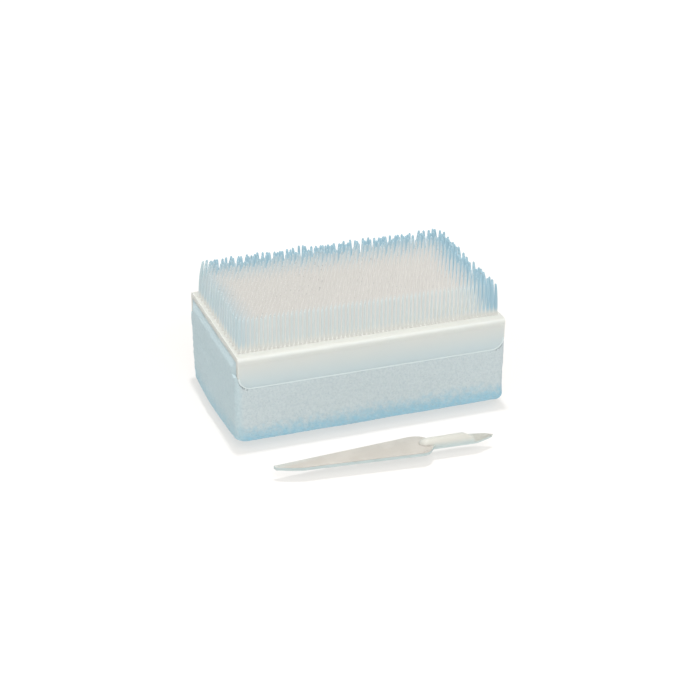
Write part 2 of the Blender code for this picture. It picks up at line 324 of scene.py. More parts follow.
def foam_material():
    """Pale foam: greyish blue, with fine open cells; painted shade makes its foot and left end
    bluer, its cells dark.
    """
    shade = Shade("foam", 0.92)
    drift = shade.noise(1.6 * MM, 4.0, 0.6)
    height = shade.math("ADD", shade.axis("Z"), shade.ranged(drift, 0.3, 0.7, -1.3 * MM, 1.3 * MM))
    # Painted shade: the foot is bluer, and this reaches a little higher towards the right
    lift = shade.ranged(shade.axis("X"), -30 * MM, 20 * MM, 0.1 * MM, -0.7 * MM)
    height = shade.math("ADD", height, lift)
    body = shade.mix(shade.ranged(height, 0.0, FOOT_SHADE_FADE), FOAM_FOOT_SHADE_BLUE, FOAM_PALE)
    mottle = shade.noise(0.75 * MM, 3.0, 0.65)
    darker = shade.mix(0.35, body, FOAM_MOTTLE)
    body = shade.mix(shade.ranged(mottle, 0.30, 0.62), darker, body)
    pores = shade.cells(0.7 * MM)
    # Painted shade in the open cells, darkest at their middles
    body = shade.mix(shade.ranged(pores, 0.0, 0.35, 0.30, 0.0), body, FOAM_PORE_SHADE)
    # Painted shade: the left end made bluer
    left_end_shade = shade.ranged(shade.axis("X"), SPONGE_LOW.x + 1.5 * MM, SPONGE_LOW.x - 0.5 * MM)
    body = shade.mix(shade.math("MULTIPLY", left_end_shade, 0.5), body, FOAM_END_SHADE_BLUE)
    shade.colour(body)
    fine = shade.noise(0.45 * MM, 2.0, 0.6)
    shade.bump(shade.math("ADD", shade.math("MULTIPLY", pores, 0.8), fine), 0.6, 0.25 * MM)
    shade.soft(0.15, 1.0 * MM)
    shade.shader.inputs["Sheen Weight"].default_value = 0.1
    shade.shader.inputs["Sheen Tint"].default_value = (*FOAM_SHEEN_TINT, 1.0)
    return shade.material


def plate_material():
    """Milky polyethylene, cream on top, with faint flow marks; painted shade greys the skirts,
    darkens the flat top and ends.

    The top has a faint painted glow under the bristles, which pass light down to it; it lifts the
    shade between their roots."""
    shade = Shade("plate_plastic", 0.55)
    # Painted shade: greyer down the skirts, cream at the shoulder
    down = shade.ranged(shade.axis("Z"), PLATE_LOW.z - 1 * MM, PLATE_HIGH.z - 0.8 * MM)
    body = shade.mix(down, SKIRT_SHADE_GREY, SHOULDER_CREAM)
    flow = shade.noise(7 * MM, 3.0)
    body = shade.mix(shade.ranged(flow, 0.35, 0.7, 0.0, 0.20), body, FLOW_MARK)
    # Painted shade: the flat top darkened under the overhead light
    flat_top = shade.ranged(shade.axis("Z"), PLATE_HIGH.z - 0.5 * MM, PLATE_HIGH.z - 0.02 * MM)
    body = shade.mix(flat_top, body, TOP_SHADE_CREAM)
    # Painted shade: a flat, darker cream on each end face
    off_centre = shade.math("ABSOLUTE", shade.axis("X"))
    end = shade.ranged(off_centre, PLATE_HIGH.x - 0.35 * MM, PLATE_HIGH.x - 0.05 * MM)
    shade.colour(shade.mix(end, body, END_SHADE_CREAM))
    # Painted glow on the top under the field, lifting the shade between the roots
    under = shade.ranged(shade.axis("Z"), PLATE_HIGH.z - 0.25 * MM, PLATE_HIGH.z - 0.05 * MM)
    for name, half in (("X", FIELD_HIGH.x), ("Y", FIELD_HIGH.y)):
        out = shade.math("ABSOLUTE", shade.axis(name))
        inside = shade.ranged(out, half + 0.3 * MM, half - 0.9 * MM)
        under = shade.math("MULTIPLY", under, inside)
    shade.glow(shade.mix(under, BLACK, UNDER_FIELD_PAINTED_GLOW))
    shade.shader.inputs["Specular IOR Level"].default_value = 0.3
    shade.bump(shade.noise(1.6 * MM, 2.0), 0.12, 0.06 * MM)
    shade.soft(0.45, 2.0 * MM, (1.0, 1.0, 0.9))
    return shade.material


def lip_material():
    """The skirts' beaded edge, with a painted glow: a painted highlight that lifts the shade on
    its underside.
    """
    shade = Shade("plate_lip", 0.35)
    shade.colour(shade.mix(shade.noise(5 * MM, 2.0), *LIP_COLOURS))
    # Painted glow: a highlight along the bead, lifting the shade on its underside
    shade.glow(LIP_PAINTED_GLOW_COLOUR, LIP_PAINTED_GLOW)
    return shade.material


def bristle_material():
    """The same plastic drawn fine: cream deep in the field, with pale blue painted shade at its
    outside.

    Such bristles pass most light on to each other, so most of their colour is a painted glow,
    which lifts the shade between them."""
    shade = Shade("bristle_plastic", 0.55)
    # How far in from the field's ends and back a point is; the painted blue shade keeps to the
    # outside. At the back it keeps to the tips too.
    half_length = (FIELD_HIGH.x - FIELD_LOW.x) / 2
    off_centre = shade.math("ABSOLUTE", shade.math("ADD", shade.axis("X"), FADE_SHIFT))
    from_end = shade.math("SUBTRACT", half_length, off_centre)
    from_back = shade.math("SUBTRACT", FIELD_HIGH.y, shade.axis("Y"))
    low_down = shade.ranged(
        shade.axis("Z"), FIELD_HIGH.z - 7 * MM, FIELD_HIGH.z - 2.5 * MM, 3.5 * MM, 0.0)
    from_back = shade.math("ADD", shade.math("MULTIPLY", from_back, 0.62), low_down)
    edge = shade.math("MINIMUM", from_end, from_back)
    drift = shade.ranged(shade.noise(6 * MM, 2.0), 0.3, 0.7, -0.5 * MM, 0.5 * MM)
    edge = shade.math("ADD", edge, drift)
    # Colour from the outside in, with painted shade at the outside, then painted light at the
    # roots
    # Painted shade: the front rows greyer and bluer than the cream inside
    front = shade.ranged(shade.axis("Y"), FIELD_LOW.y, FIELD_LOW.y + 4 * MM)
    inner = shade.mix(front, BRISTLE_FRONT_SHADE, BRISTLE_CREAM)
    # Painted shade: pale blue at the field's outside, muted at the left end
    rightward = shade.ranged(shade.axis("X"), -40 * MM, -34 * MM)
    outside = shade.mix(rightward, BRISTLE_LEFT_EDGE_SHADE, BRISTLE_EDGE_SHADE)
    edge_shade = shade.mix(shade.ranged(edge, 0.5 * MM, 5.5 * MM), outside, BRISTLE_NEAR_EDGE_SHADE)
    body = shade.mix(shade.ranged(edge, 1 * MM, 10 * MM), edge_shade, inner)
    # Painted light at the roots, a pale cream that lifts the shade between them
    root = shade.ranged(shade.axis("Z"), PLATE_HIGH.z + 0.3 * MM, PLATE_HIGH.z + 2.8 * MM)
    body = shade.mix(root, BRISTLE_ROOT_PAINTED_LIGHT, body)
    # Painted shade: small dark specks on some of the tips, for shadowed gaps among them
    speck = shade.ranged(shade.noise(0.55 * MM, 1.0), 0.62, 0.68)
    patch = shade.ranged(shade.noise(11 * MM, 1.0), 0.48, 0.60)
    at_tip = shade.ranged(shade.axis("Z"), FIELD_HIGH.z - 0.9 * MM, FIELD_HIGH.z - 0.2 * MM)
    speck = shade.math("MULTIPLY", shade.math("MULTIPLY", speck, patch), at_tip)
    body = shade.mix(shade.math("MULTIPLY", speck, 0.5), body, BRISTLE_SPECK_SHADE)
    # Deep in the field, and at the roots, nearly all the colour is painted glow, for light passed
    # on
    deep = shade.math("MULTIPLY", shade.ranged(edge, 0.0, 5 * MM), front)
    deep = shade.math("MAXIMUM", deep, shade.math("SUBTRACT", 0.9, root))
    surface = shade.ranged(deep, 0.0, 1.0, *BRISTLE_SURFACE)
    glow = shade.ranged(deep, 0.0, 1.0, *BRISTLE_PAINTED_GLOW)
    shade.colour(shade.mix(surface, BLACK, body))
    shade.glow(shade.mix(glow, BLACK, body))
    shade.shader.inputs["Specular IOR Level"].default_value = 0.1
    shade.soft(0.6, 1.6 * MM, (1.0, 1.05, 1.1))
    return shade.material


def pick_material():
    """Cloudy ivory polyethylene: tan on the blade, cream on the stem; painted shade makes the
    sides bluer and the scoop grey.
    """
    shade = Shade("pick_plastic", 0.36)
    cloud = shade.ranged(shade.noise(6 * MM, 3.0), 0.35, 0.7)
    top = shade.mix(cloud, *PICK_FACE)
    # Painted shade: the sides and the stem's lower part bluer than the top
    side = shade.mix(cloud, *PICK_SIDE_SHADE)
    height, along = shade.axis("Z"), shade.axis("X")
    blade = shade.mix(shade.ranged(height, 0.80 * MM, 1.10 * MM), side, top)
    blade = shade.mix(shade.ranged(height, 1.30 * MM, 1.8 * MM), blade, PICK_CREAM)
    stem = shade.mix(shade.ranged(height, 0.3 * MM, 2.2 * MM), side, PICK_CREAM)
    tip_end = (PICK_LOW.x + PICK_HIGH.x - PICK_LENGTH) / 2
    on_stem = shade.ranged(along, tip_end + STEM_START + 3 * MM, tip_end + STEM_START + 5 * MM)
    on_point = shade.ranged(along, tip_end + STEM_END + 1.5 * MM, tip_end + STEM_END + 3 * MM)
    # Painted shade: grey in the scoop's hollow
    scoop_shade = shade.mix(shade.ranged(height, 0.2 * MM, 0.9 * MM), side, PICK_SCOOP_SHADE)
    shade.colour(shade.mix(on_point, shade.mix(on_stem, blade, stem), scoop_shade))
    shade.bump(shade.noise(1.2 * MM, 2.0), 0.10, 0.05 * MM)
    shade.soft(0.4, 1.5 * MM)
    return shade.material


def adhesive_material():
    """A clear, slightly yellow bond line."""
    shade = Shade("adhesive", 0.30)
    shade.colour(shade.mix(shade.noise(2 * MM, 2.0), *BOND_COLOURS))
    shade.bump(shade.noise(0.8 * MM, 2.0), 0.2, 0.05 * MM)
    return shade.material


# ---------------------------------------------------------------- mesh helpers

def new_piece(name, mesh, finish, body, replaces):
    piece = bpy.data.objects.new(name, mesh)
    bpy.context.scene.collection.objects.link(piece)
    mesh.materials.clear()
    mesh.materials.append(finish)
    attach(piece, body)
    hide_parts(*replaces)
    return piece


def arc(centre, radius, start, end, steps):
    """Points on an arc from start to end, in degrees, both ends included."""
    points = []
    for step in range(steps + 1):
        angle = math.radians(start + (end - start) * step / steps)
        points.append((centre[0] + radius * math.cos(angle), centre[1] + radius * math.sin(angle)))
    return points


def prism_mesh(name, outline, depth, place):
    """A flat outline made into a solid; place(u, v, w) puts outline point (u, v) at depth w."""
    mesh = bpy.data.meshes.new(name)
    bm = bmesh.new()
    cap = bm.faces.new([bm.verts.new(place(u, v, -depth / 2)) for u, v in outline])
    grown = bmesh.ops.extrude_face_region(bm, geom=[cap], use_keep_orig=True)
    far = [item for item in grown["geom"] if isinstance(item, bmesh.types.BMVert)]
    travel = Vector(place(0.0, 0.0, depth)) - Vector(place(0.0, 0.0, 0.0))
    bmesh.ops.translate(bm, verts=far, vec=travel)
    bmesh.ops.recalc_face_normals(bm, faces=bm.faces)
    bm.to_mesh(mesh)
    bm.free()
    return mesh


def skin(bm, rings):
    """Faces between each closed ring of vertices and the next one."""
    for ring, following in zip(rings, rings[1:]):
        for this in range(len(ring)):
            after = (this + 1) % len(ring)
            bm.faces.new((ring[this], ring[after], following[after], following[this]))


def loose_object(mesh):
    made = bpy.data.objects.new(mesh.name, mesh)
    bpy.context.scene.collection.objects.link(made)
    return made


def applied(target):
    """The object's mesh with its modifiers done; the object itself is removed."""
    bpy.context.view_layer.update()
    graph = bpy.context.evaluated_depsgraph_get()
    mesh = bpy.data.meshes.new_from_object(target.evaluated_get(graph))
    mesh.transform(target.matrix_world)
    bpy.data.objects.remove(target, do_unlink=True)
    return mesh


def boolean(target, cutter, operation):
    cut = target.modifiers.new("cut", "BOOLEAN")
    cut.operation = operation
    cut.solver = "EXACT"
    cut.object = cutter


def bevel(target, width, sharper_than):
    """Rounds the edges that turn by more than an angle, in degrees."""
    rounded = target.modifiers.new("bevel", "BEVEL")
    rounded.width = width
    rounded.segments = 3
    rounded.limit_method = "ANGLE"
    rounded.angle_limit = math.radians(sharper_than)


def smooth(mesh, angle):
    """Smooth shading, but for the edges that turn by more than an angle, in degrees."""
    mesh.shade_smooth()
    mesh.set_sharp_from_angle(angle=math.radians(angle))


# ---------------------------------------------------------------- bristles

SEED = 7
COLUMNS = 62                         # in every other row, and one fewer in those between
ROOT_RADIUS = 0.60 * MM
SHAFT_RADIUS = 0.36 * MM
TIP_RADIUS = 0.30 * MM
SIDES = 6
SWIRL = 37.0                         # radians a mm: turns each one's flat sides differently
LEVELS = (0.0, 0.05, 0.13, 0.24, 0.50, 0.75, 0.90, 0.972, 1.0)
FLARE_SHARE = 0.07                   # share of the height over which the root slims down
ROOT_SINK = 0.25 * MM                # how far each root runs into the plate
TIP_ROUNDING = 0.55                  # the last ring's share of its radius
BEND = 1.7                           # power by which the tips lean away from the roots
EDGE_BEND = 1.5                      # and how much it grows at the worn edges
NEAT_ROWS = 3                        # rows at the front whose bristles stand straight, as do
NEAT_END = 0.9                       # those beyond this share of the half length on the left
ROOT_SCATTER = (0.015 * MM, 0.04 * MM)   # among the neat ones, and among the others
TIP_SCATTER = (0.02 * MM, 0.05 * MM)
HEIGHT_SCATTER = (0.05 * MM, 0.10 * MM)  # everywhere, and more at the worn edges
CLUMP_SPACING = (1.9 * MM, 3.4 * MM)
CLUMP_SCATTER = 0.35                 # share of the spacing
FIELD_GATHER = 0.02                  # share of the way from a bristle to its clump's middle
EDGE_GATHER = 0.45
RIGHT_LEAN = 0.5 * MM                # of the tips, inwards at the right end
RISE_FROM = 0.55                     # share of the way to the back, where the rows rise
BACK_RISE = 0.9 * MM                 # how much taller the back rows stand
EDGE_RISE = 0.3 * MM                 # and the bristles at the worn edges
TOOTH_HEIGHT = 1.1 * MM              # the worn edges are cut into teeth of this height,
TOOTH_LENGTH = 1.7 * MM              # this length along the back
TOOTH_DEPTH = 5.0 * MM               # and this length along the right end
EDGE_STOUTNESS = 0.70                # share that the worn bristles are thicker by
EDGE_POINT = 0.28                    # share that they taper by,
POINT_FROM = 0.6                     # from this share of the height up


def clump_centres(random):
    """Scattered points that the tips gather towards, each one over a few bristles."""
    centres = []
    length = FIELD_HIGH.x - FIELD_LOW.x
    width = FIELD_HIGH.y - FIELD_LOW.y
    for j in range(int(width / CLUMP_SPACING[1]) + 2):
        for i in range(int(length / CLUMP_SPACING[0]) + 2):
            shift = random.uniform(-CLUMP_SCATTER, CLUMP_SCATTER, 2)
            centres.append((
                FIELD_LOW.x + (i + shift[0] + 0.5 * (j % 2)) * CLUMP_SPACING[0],
                FIELD_HIGH.y - (j + shift[1]) * CLUMP_SPACING[1]))
    return np.array(centres)


def bristle_radius(share, stout, pointed):
    """Radius at a share of the height: a flared root, a slim shaft and a rounded tip."""
    flare = (ROOT_RADIUS - SHAFT_RADIUS) * math.exp(-share / FLARE_SHARE)
    slim = (SHAFT_RADIUS + (TIP_RADIUS - SHAFT_RADIUS) * share ** 2) * stout + flare
    slim *= 1.0 - pointed * max(0.0, (share - POINT_FROM) / (1.0 - POINT_FROM)) ** 1.3
    return slim * (TIP_ROUNDING if share == 1.0 else 1.0)


def add_bristle(points, faces, base, tip, height, shape, bend):
    """One filament; its tip stands away from its base, mostly near the top if bend is high."""
    first = len(points)
    swirl = SWIRL * base[0] / MM
    for share in LEVELS:
        radius = bristle_radius(share, *shape)
        centre = base + (tip - base) * share ** bend
        z = PLATE_HIGH.z - ROOT_SINK + (height + ROOT_SINK) * share
        for side in range(SIDES):
            angle = swirl + 2 * math.pi * side / SIDES
            points.append((
                centre[0] + radius * math.cos(angle), centre[1] + radius * math.sin(angle), z))
    for level in range(len(LEVELS) - 1):
        for side in range(SIDES):
            after = (side + 1) % SIDES
            low, high = first + level * SIDES, first + (level + 1) * SIDES
            faces.append((low + side, low + after, high + after, high + side))
    faces.append(tuple(first + side for side in reversed(range(SIDES))))
    top = first + (len(LEVELS) - 1) * SIDES
    faces.append(tuple(top + side for side in range(SIDES)))


def make_bristles(finish):
    random = np.random.default_rng(SEED)
    centres = clump_centres(random)
    half = (FIELD_HIGH.x - FIELD_LOW.x) / 2 - SHAFT_RADIUS
    pitch = 2 * half / (COLUMNS - 1)
    full_height = FIELD_HIGH.z - PLATE_HIGH.z
    for index, row in enumerate(ROWS):
        low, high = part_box(row)
        y = (low.y + high.y) / 2
        back_share = index / (len(ROWS) - 1)
        between = index % 2          # every other row stands in the gaps of its neighbours
        points, faces = [], []
        for column in range(COLUMNS - between):
            x = -half + pitch * (column + between / 2)
            end_share = abs(x) / half
            right = max(x, 0.0) / half
            left = max(-x, 0.0) / half
            untidy = int(index >= NEAT_ROWS and left <= NEAT_END)
            base = np.array([x, y]) + random.normal(0.0, ROOT_SCATTER[untidy], 2)
            away = centres - base
            nearest = away[np.argmin((away ** 2).sum(1))]
            # How near the back or the right end it stands, where the field is worn
            edge = max(back_share ** 6, right ** 12 * min(1.0, index / 6))
            gather = EDGE_GATHER * edge + FIELD_GATHER * untidy
            tip = base + nearest * gather + random.normal(0.0, TIP_SCATTER[untidy], 2)
            # Tips lean inwards at both ends, at the left end mostly near the back
            lean = RIGHT_LEAN if x > 0 else (1.5 * back_share - 0.2) * MM
            tip[0] -= math.copysign(lean, x) * end_share ** 8
            height = full_height + random.normal(
                0.0, HEIGHT_SCATTER[0] + HEIGHT_SCATTER[1] * edge)
            rise = min(1.0, max(0.0, (back_share - RISE_FROM) / (1.0 - RISE_FROM)))
            tooth = noise.noise(Vector((x / TOOTH_LENGTH, y / TOOTH_DEPTH, 0.0)))
            height += BACK_RISE * rise ** 1.5 + edge * (EDGE_RISE + TOOTH_HEIGHT * tooth)
            stout = 1.0 + EDGE_STOUTNESS * max(back_share ** 8, right ** 16)
            pointed = EDGE_POINT * max(back_share ** 4, right ** 8)
            bend = BEND + EDGE_BEND * edge
            add_bristle(points, faces, base, tip, height, (stout, pointed), bend)
        mesh = bpy.data.meshes.new("bristles_" + row[-2:])
        mesh.from_pydata(points, [], faces)
        mesh.update()
        smooth(mesh, 60)
        new_piece("bristles_" + row[-2:], mesh, finish, row, [row])


# ---------------------------------------------------------------- plate

SHOULDER_RADIUS = 1.3 * MM
CEILING_RADIUS = 0.6 * MM
SKIRT_THICKNESS = 1.8 * MM
PLATE_THICKNESS = 2.0 * MM
SKIRT_CORNER_RADIUS = 4.0 * MM
RIM_RADIUS = 0.45 * MM
FACE_INSET = 0.16 * MM               # each skirt's face, back from its lip
LIP_RADIUS = 0.30 * MM               # bead along the skirt's lower edge
SHELF_DEPTH = 0.9 * MM               # faint step below the shoulder
SHELF_PROUD = 0.12 * MM
SHELF_SLOPE = 0.15 * MM
CORNER_STEPS = 18
LIP_SIDES = 10
OVERLAP = 2 * MM                     # how far a cutting solid runs on past what it cuts


def skirt_side(half, low, top):
    """One skirt's outer face from its foot up: the face, a faint step and the shoulder."""
    face = half - FACE_INSET
    step = top - SHOULDER_RADIUS
    side = [(face, low), (face, step - SHELF_DEPTH)]
    side += [(face + SHELF_PROUD, step - SHELF_DEPTH + SHELF_SLOPE)]
    centre = face + SHELF_PROUD - SHOULDER_RADIUS
    return side + arc((centre, step), SHOULDER_RADIUS, 0, 90, 12)


def add_lip(bm, half, length, low):
    """A round bead along a skirt's lower edge and up round both its lower corners."""
    turn_radius = SKIRT_CORNER_RADIUS - LIP_RADIUS
    centre = length / 2 - SKIRT_CORNER_RADIUS
    middle = low + SKIRT_CORNER_RADIUS
    path = arc((-centre, middle), turn_radius, 182, 270, CORNER_STEPS)
    path += arc((centre, middle), turn_radius, 270, 358, CORNER_STEPS)
    rings = []
    for at, (x, z) in enumerate(path):
        before, after = path[max(at - 1, 0)], path[min(at + 1, len(path) - 1)]
        along = Vector((after[0] - before[0], 0.0, after[1] - before[1])).normalized()
        across = Vector((-along.z, 0.0, along.x))
        ring = []
        for step in range(LIP_SIDES):
            turn = 2 * math.pi * step / LIP_SIDES
            offset = across * math.cos(turn) + Vector((0.0, 1.0, 0.0)) * math.sin(turn)
            ring.append(bm.verts.new(Vector((x, half, z)) + offset * LIP_RADIUS))
        rings.append(ring)
    skin(bm, rings)
    bm.faces.new(list(reversed(rings[0])))
    bm.faces.new(rings[-1])


def make_plate(finish, lip_finish):
    half = PLATE_HIGH.y
    top, low = PLATE_HIGH.z, PLATE_LOW.z
    length = PLATE_HIGH.x - PLATE_LOW.x
    inner = half - SKIRT_THICKNESS
    ceiling = top - PLATE_THICKNESS
    bend = inner - CEILING_RADIUS
    back = skirt_side(half, low, top)
    section = back + [(-u, v) for u, v in reversed(back)]
    section += [(-inner, low)]
    section += arc((-bend, ceiling - CEILING_RADIUS), CEILING_RADIUS, 180, 90, 6)
    section += arc((bend, ceiling - CEILING_RADIUS), CEILING_RADIUS, 90, 0, 6)
    section += [(inner, low)]
    shell = loose_object(prism_mesh(
        "plate_shell", section, length + OVERLAP, lambda u, v, w: (w, u, v)))
    corner = SKIRT_CORNER_RADIUS
    side = arc((-length / 2 + corner, low + corner), corner, 180, 270, CORNER_STEPS)
    side += arc((length / 2 - corner, low + corner), corner, 270, 360, CORNER_STEPS)
    side += [(length / 2, top + OVERLAP / 2), (-length / 2, top + OVERLAP / 2)]
    block = loose_object(prism_mesh(
        "plate_block", side, 2 * half + OVERLAP, lambda u, v, w: (u, w, v)))
    boolean(shell, block, "INTERSECT")
    solid = loose_object(applied(shell))
    bpy.data.objects.remove(block, do_unlink=True)
    bevel(solid, RIM_RADIUS, 40)
    mesh = applied(solid)
    mesh.name = "moulded_plate"
    bm = bmesh.new()
    bm.from_mesh(mesh)
    body_faces = len(bm.faces)
    for side in (-1, 1):
        add_lip(bm, side * (half - LIP_RADIUS), length, low)
    bm.faces.ensure_lookup_table()
    bmesh.ops.recalc_face_normals(bm, faces=bm.faces[body_faces:])
    bm.to_mesh(mesh)
    bm.free()
    smooth(mesh, 35)
    new_piece("moulded_plate", mesh, finish, "brush_head", ["brush_plate"])
    mesh.materials.append(lip_finish)
    for face in mesh.polygons[body_faces:]:
        face.material_index = 1


# ---------------------------------------------------------------- sponge

FOAM_STEP = 0.45 * MM                # about one cell
FOAM_FACE_PROUD = 0.10 * MM          # each long face, out past the skirt's lip
FOAM_END_SWELL = 0.75 * MM           # each end, out past the plate's end
SWELL_RUN = 2.5 * MM                 # from flush with the plate to fully swollen
FOAM_FOOT_SPREAD = 1.3 * MM          # each long face, out at the foot
FOAM_BELLY = 1.1 * MM                # the left end, out at mid-width near the foot
FOAM_CORNER_RADII = (3.2 * MM, 2.4 * MM, 0.2 * MM)   # at the foot, below the skirt, above
FOAM_BACK_LEFT_RADIUS = 9.0 * MM     # the one worn corner, at its foot
FOAM_FOOT_RADIUS = 1.1 * MM
FOAM_LIP_RISE = 0.28 * MM            # over the plate's lower rim, at each end
FOAM_LIP_RUN = 0.9 * MM              # from the plate's end inwards
FOAM_LAYERS = 53                     # of cells, from the foot to the top
FOAM_LEDGE_LIFT = 0.15 * MM          # of the foam's edge, up against the skirt's lip
FOAM_SEAT_GAP = 0.05 * MM            # between the foam's lips and the plate's underside
FOAM_SKIN_GAP = 0.03 * MM            # between the foam and the skirt's inner face
FOAM_TOP_SINK = 0.25 * MM            # how far its top runs up into the bond
FOAM_CALM = 0.4                      # share of its roughness at the foot and the let-in ends
FOAM_UNDERSIDE_CALM = 0.3            # and of that, on the face that it stands on
# Size across and height of its waves, its ripples and its cells
FOAM_ROUGHNESS = ((13 * MM, 0.30 * MM), (3.2 * MM, 0.14 * MM), (0.95 * MM, 0.14 * MM))


def foam_grid(half):
    """A cube from -1 to 1 each way, cut so that a box of these half sizes has even cells."""
    bm = bmesh.new()
    bmesh.ops.create_cube(bm, size=2.0)
    for axis in range(3):
        along = [edge for edge in bm.edges
                 if abs((edge.verts[0].co - edge.verts[1].co)[axis]) > 1.0]
        cuts = (FOAM_LAYERS if axis == 2 else int(2 * half[axis] / FOAM_STEP)) - 1
        bmesh.ops.subdivide_edges(bm, edges=along, cuts=cuts, use_grid_fill=True)
    mesh = bpy.data.meshes.new("foam_block")
    bm.to_mesh(mesh)
    bm.free()
    return mesh


def read_vectors(collection, field):
    values = np.zeros(len(collection) * 3)
    collection.foreach_get(field, values)
    return values.reshape(-1, 3)


def skirt_foot(x):
    """Height of the skirt's lower edge at each x, rising round its two lower corners."""
    corner = SKIRT_CORNER_RADIUS
    across = np.clip(np.abs(x) - (PLATE_HIGH.x - corner), 0.0, corner)
    return PLATE_LOW.z + corner - np.sqrt(corner ** 2 - across ** 2)


def shape_foam(co, half, top):
    """The block's corners rounded, its foot spread, and its upper part let into the plate.

    Returns which points are let in, and which lie on the ledge along the skirts' feet."""
    foot_radius, low_radius, channel_radius = FOAM_CORNER_RADII
    inner_face = PLATE_HIGH.y - SKIRT_THICKNESS
    ceiling = PLATE_HIGH.z - PLATE_THICKNESS
    seat = skirt_foot(co[:, 0]) - FOAM_SEAT_GAP
    let_in = co[:, 2] > seat
    share = np.clip(co[:, 2] / PLATE_LOW.z, 0.0, 1.0)
    worn = (co[:, 0] < 0) & (co[:, 1] > 0)
    foot_radii = np.where(worn, FOAM_BACK_LEFT_RADIUS, foot_radius)
    radius = np.where(let_in, channel_radius, foot_radii + (low_radius - foot_radii) * share)
    ledge = np.abs(co[:, 2] - seat) < 2 * half[2] / FOAM_LAYERS
    ledge &= np.abs(co[:, 0]) < PLATE_HIGH.x - 0.5 * MM
    outer_ledge = ledge & ~let_in
    # Corners seen from above
    core = np.minimum(np.abs(co[:, :2]), half[:2] - radius[:, None]) * np.sign(co[:, :2])
    away = co[:, :2] - core
    length = np.maximum(np.linalg.norm(away, axis=1), 1e-12)
    co[:, :2] = core + away * np.minimum(1.0, radius / length)[:, None]
    # The foot's rounded edge and its spread
    depth = np.clip(FOAM_FOOT_RADIUS - co[:, 2], 0.0, FOAM_FOOT_RADIUS)
    inset = FOAM_FOOT_RADIUS - np.sqrt(FOAM_FOOT_RADIUS ** 2 - depth ** 2)
    co[:, :2] *= 1.0 - inset[:, None] / half[:2]
    co[:, 1] *= 1.0 + FOAM_FOOT_SPREAD / half[1] * (1.0 - share) ** 1.6
    across = np.clip(1.0 - (co[:, 1] / half[1]) ** 2, 0.0, 1.0)
    leftward = np.clip(-co[:, 0] / half[0], 0.0, 1.0) ** 8
    co[:, 0] -= FOAM_BELLY * leftward * across * (1.0 - share) ** 0.7
    # The part between the skirts, and the ledge that their feet rest on
    co[let_in, 1] *= (inner_face - FOAM_SKIN_GAP) / half[1]
    on_face = np.abs(co[:, 1]) > inner_face - FOAM_STEP
    co[ledge & on_face, 2] = seat[ledge & on_face]
    co[outer_ledge & on_face, 2] += FOAM_LEDGE_LIFT
    # The top's edge at each end, which swells up over the plate's lower rim
    lips = (co[:, 2] > top - 1e-6) & (np.abs(co[:, 0]) > PLATE_HIGH.x - FOAM_LIP_RUN)
    co[lips, 2] = ceiling - FOAM_SEAT_GAP
    out = np.abs(co[:, 0]) > PLATE_HIGH.x
    co[lips & out, 2] += FOAM_LIP_RISE
    # The ends, flush with the plate where they meet it and swollen away from it
    below_plate = (ceiling - co[:, 2]) / SWELL_RUN
    from_skirt = (inner_face - np.abs(co[:, 1])) / SWELL_RUN
    from_skirt = np.where(let_in, from_skirt, 1.0)
    swell = np.clip(np.minimum(below_plate, from_skirt), 0.0, 1.0)
    swell = swell * swell * (3.0 - 2.0 * swell)
    beyond = np.abs(co[:, 0]) - PLATE_HIGH.x
    flush = np.sign(co[:, 0]) * (PLATE_HIGH.x + 0.02 * MM + beyond * swell)
    co[out, 0] = flush[out]
    return let_in, ledge & on_face


def make_sponge(finish):
    top = SPONGE_HIGH.z + FOAM_TOP_SINK
    lip_top = PLATE_HIGH.z - PLATE_THICKNESS - FOAM_SEAT_GAP
    half = np.array([
        PLATE_HIGH.x + FOAM_END_SWELL, PLATE_HIGH.y + FOAM_FACE_PROUD, top / 2])
    mesh = foam_grid(half)
    co = read_vectors(mesh.vertices, "co") * half + (0.0, 0.0, top / 2)
    let_in, ledge = shape_foam(co, half, top)
    mesh.vertices.foreach_set("co", co.ravel())
    mesh.update()
    normals = read_vectors(mesh.vertex_normals, "vector")
    push = np.empty(len(co))
    for at, place in enumerate(co):
        push[at] = sum(noise.noise(Vector(place) / size) * height
                       for size, height in FOAM_ROUGHNESS)
    resting = co[:, 2] < 0.05 * MM
    push[resting] = np.minimum(push[resting], 0.0) * FOAM_UNDERSIDE_CALM
    push[co[:, 2] < FOAM_FOOT_RADIUS] *= FOAM_CALM
    push[let_in] = np.minimum(push[let_in], 0.0)
    push[ledge] = 0.0
    push[let_in & (np.abs(co[:, 0]) > PLATE_HIGH.x)] *= FOAM_CALM
    co = co + normals * push[:, None]
    co[:, 2] = np.clip(co[:, 2], 0.0, lip_top + FOAM_LIP_RISE)
    mesh.vertices.foreach_set("co", co.ravel())
    mesh.update()
    smooth(mesh, 55)
    piece = new_piece("foam_block", mesh, finish, "sponge", ["sponge"])
    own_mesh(piece)


# ---------------------------------------------------------------- bond line

BOND_STEPS = 180                     # round its edge
BOND_RAGGEDNESS = 0.012              # share of the way to its middle


def make_bond(finish):
    """The set adhesive between plate and foam, with an uneven edge where it has spread."""
    low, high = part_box("adhesive_film")
    middle, half = (low + high) / 2, (high - low) / 2
    outline = []
    for step in range(BOND_STEPS):
        angle = 2 * math.pi * step / BOND_STEPS
        x, y = math.cos(angle), math.sin(angle)
        reach = 1.0 / max(abs(x), abs(y))
        ragged = 1.0 - BOND_RAGGEDNESS * (1.0 + noise.noise(Vector((6 * x, 6 * y, 0.0))))
        outline.append((
            middle.x + half.x * x * reach * ragged, middle.y + half.y * y * reach * ragged))
    thickness = PLATE_HIGH.z - PLATE_THICKNESS - low.z
    mid_height = low.z + thickness / 2
    mesh = prism_mesh("bond_line", outline, thickness, lambda u, v, w: (u, v, mid_height + w))
    new_piece("bond_line", mesh, finish, "brush_head", ["adhesive_film"])


